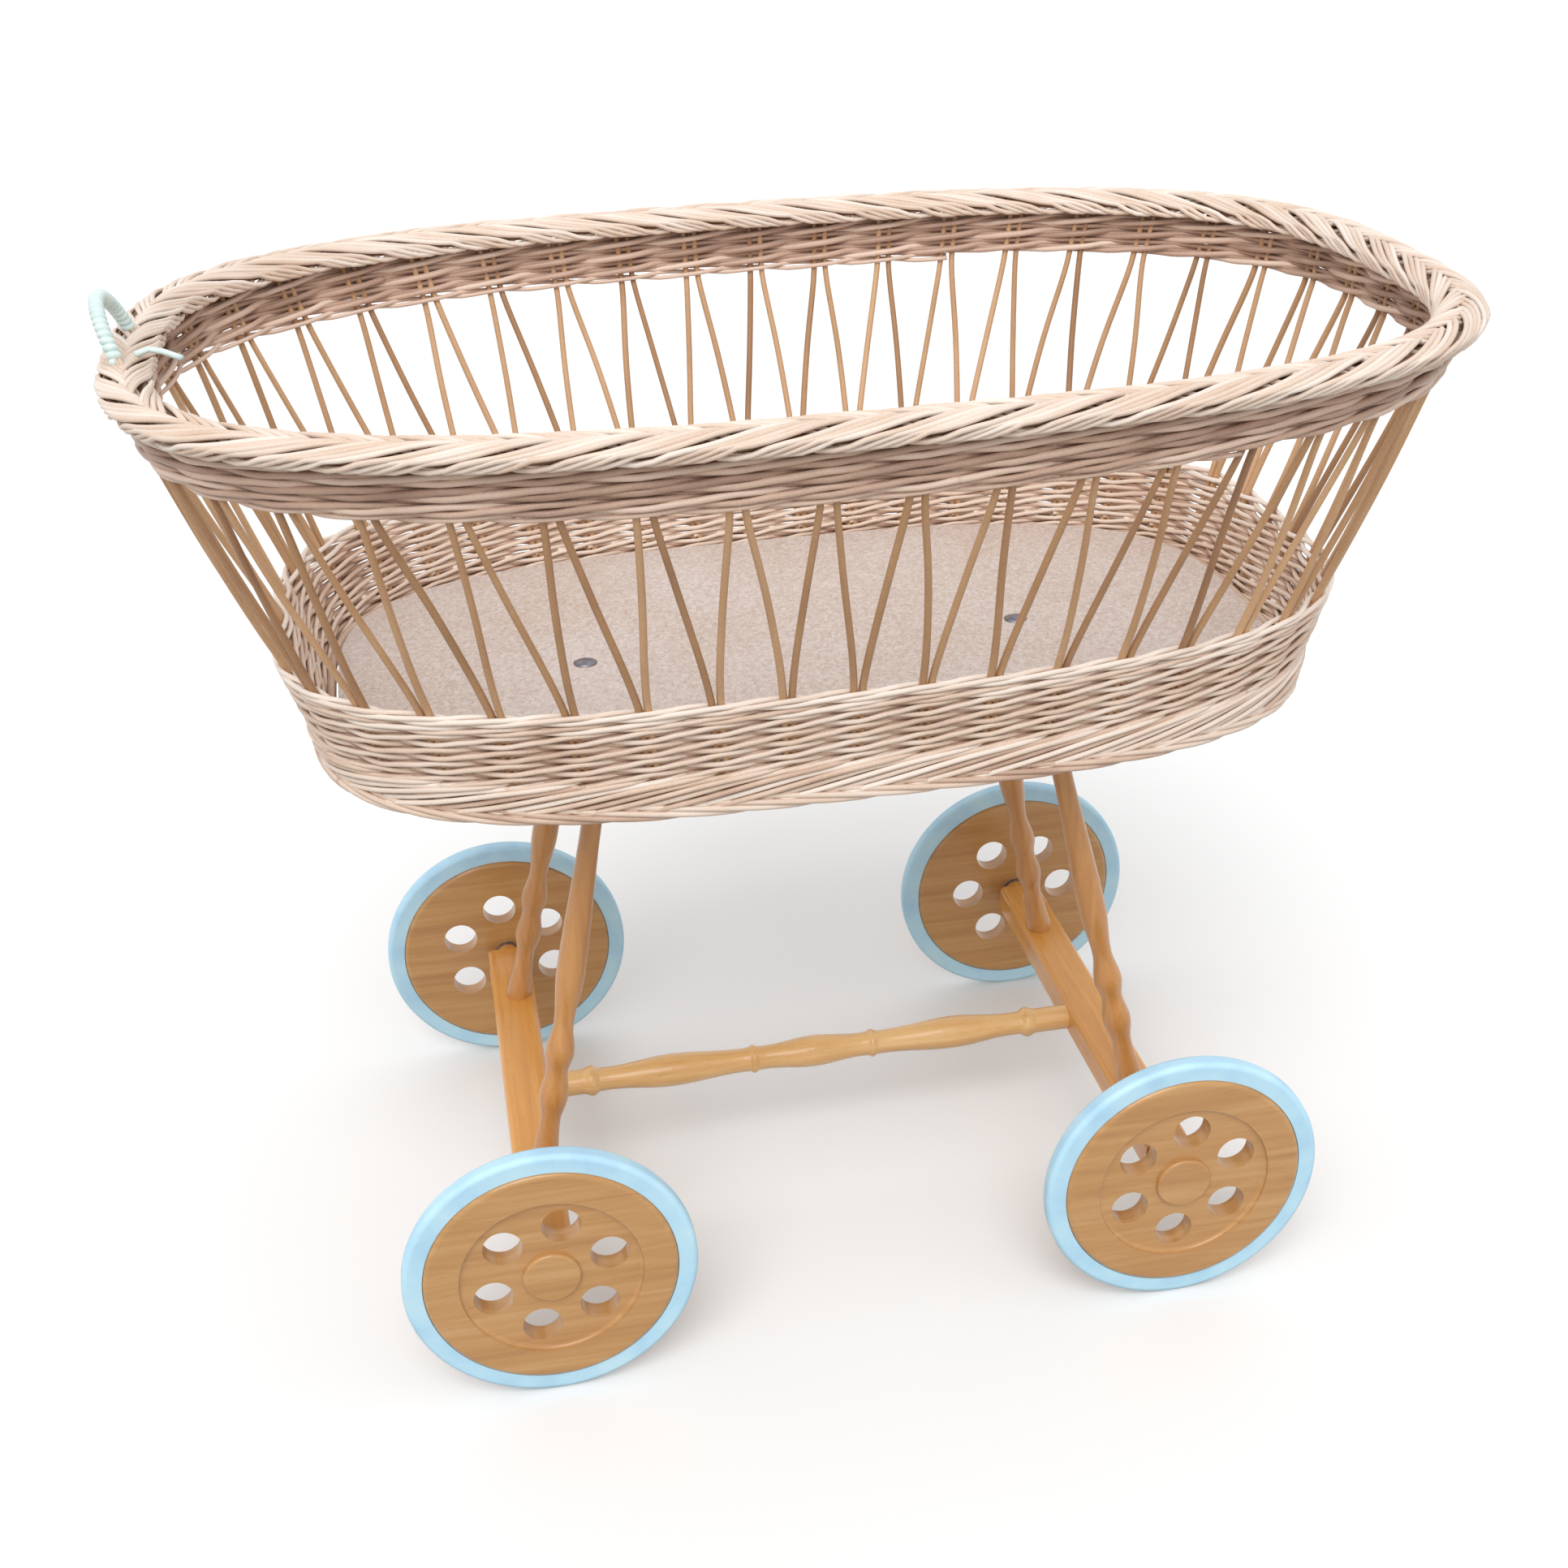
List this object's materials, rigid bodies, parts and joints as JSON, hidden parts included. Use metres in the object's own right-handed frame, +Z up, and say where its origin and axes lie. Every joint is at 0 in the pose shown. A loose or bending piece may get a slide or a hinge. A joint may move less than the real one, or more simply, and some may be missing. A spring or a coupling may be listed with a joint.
{
  "type": "wheeled wicker bassinet",
  "caption": "Oval wicker basket with an open zig-zag stake wall and a bound end handle, bolted to a turned wooden stand that rolls on holed wooden wheels with rubber tyres.",
  "frame": {"origin": "on the ground under the middle of the basket", "axes": "+X towards the front end, away from the bound handle; +Y to the left; +Z up"},
  "size_m": [0.87, 0.576, 0.7328],
  "materials": {
    "particle_board": "raw pressed particle board",
    "willow_pale": "peeled willow, clear varnish",
    "willow_brown": "steamed willow, clear varnish",
    "handle_strip": "smooth pale strip",
    "zinc_steel": "zinc plated",
    "beech_bar": "planed, satin lacquer",
    "beech_turned": "turned, satin lacquer",
    "beech_disc": "turned, satin lacquer",
    "white_rubber": "moulded pale rubber",
    "white_nylon": "moulded"
  },
  "bodies": {
    "frame": {"base_board": "particle_board", "foot_border": "willow_pale", "lower_weave": "willow_pale", "top_border": "willow_pale", "handle_core": "willow_pale", "front_stakes": "willow_brown", "left_stakes": "willow_brown", "rear_stakes": "willow_brown", "right_stakes": "willow_brown", "upper_weave": "willow_brown", "handle_binding": "handle_strip", "board_bolts": "zinc_steel", "board_washers": "zinc_steel", "board_nuts": "zinc_steel", "axle_washers": "zinc_steel", "rear_top_rail": "beech_bar", "front_top_rail": "beech_bar", "rear_crossbar": "beech_bar", "front_crossbar": "beech_bar", "stretcher": "beech_turned", "rear_left_leg": "beech_turned", "rear_right_leg": "beech_turned", "front_left_leg": "beech_turned", "front_right_leg": "beech_turned", "rear_left_axle_bolt": "zinc_steel", "rear_left_spacer": "beech_bar", "rear_right_axle_bolt": "zinc_steel", "rear_right_spacer": "beech_bar", "front_left_axle_bolt": "zinc_steel", "front_left_spacer": "beech_bar", "front_right_axle_bolt": "zinc_steel", "front_right_spacer": "beech_bar"},
    "rear_left_wheel": {"rear_left_disc": "beech_disc", "rear_left_tyre": "white_rubber", "rear_left_bush": "white_nylon", "rear_left_hub_cap": "beech_disc"},
    "rear_right_wheel": {"rear_right_disc": "beech_disc", "rear_right_tyre": "white_rubber", "rear_right_bush": "white_nylon", "rear_right_hub_cap": "beech_disc"},
    "front_left_wheel": {"front_left_disc": "beech_disc", "front_left_tyre": "white_rubber", "front_left_bush": "white_nylon", "front_left_hub_cap": "beech_disc"},
    "front_right_wheel": {"front_right_disc": "beech_disc", "front_right_tyre": "white_rubber", "front_right_bush": "white_nylon", "front_right_hub_cap": "beech_disc"}
  },
  "joints": [
    {"name": "rear_left_spin", "type": "hinge", "parent": "frame", "child": "rear_left_wheel", "pos_m": [-0.2235, 0.211, 0.1], "axis": [0, 1, 0], "continuous": true},
    {"name": "rear_right_spin", "type": "hinge", "parent": "frame", "child": "rear_right_wheel", "pos_m": [-0.2235, -0.211, 0.1], "axis": [0, 1, 0], "continuous": true},
    {"name": "front_left_spin", "type": "hinge", "parent": "frame", "child": "front_left_wheel", "pos_m": [0.2235, 0.211, 0.1], "axis": [0, 1, 0], "continuous": true},
    {"name": "front_right_spin", "type": "hinge", "parent": "frame", "child": "front_right_wheel", "pos_m": [0.2235, -0.211, 0.1], "axis": [0, 1, 0], "continuous": true}
  ]
}
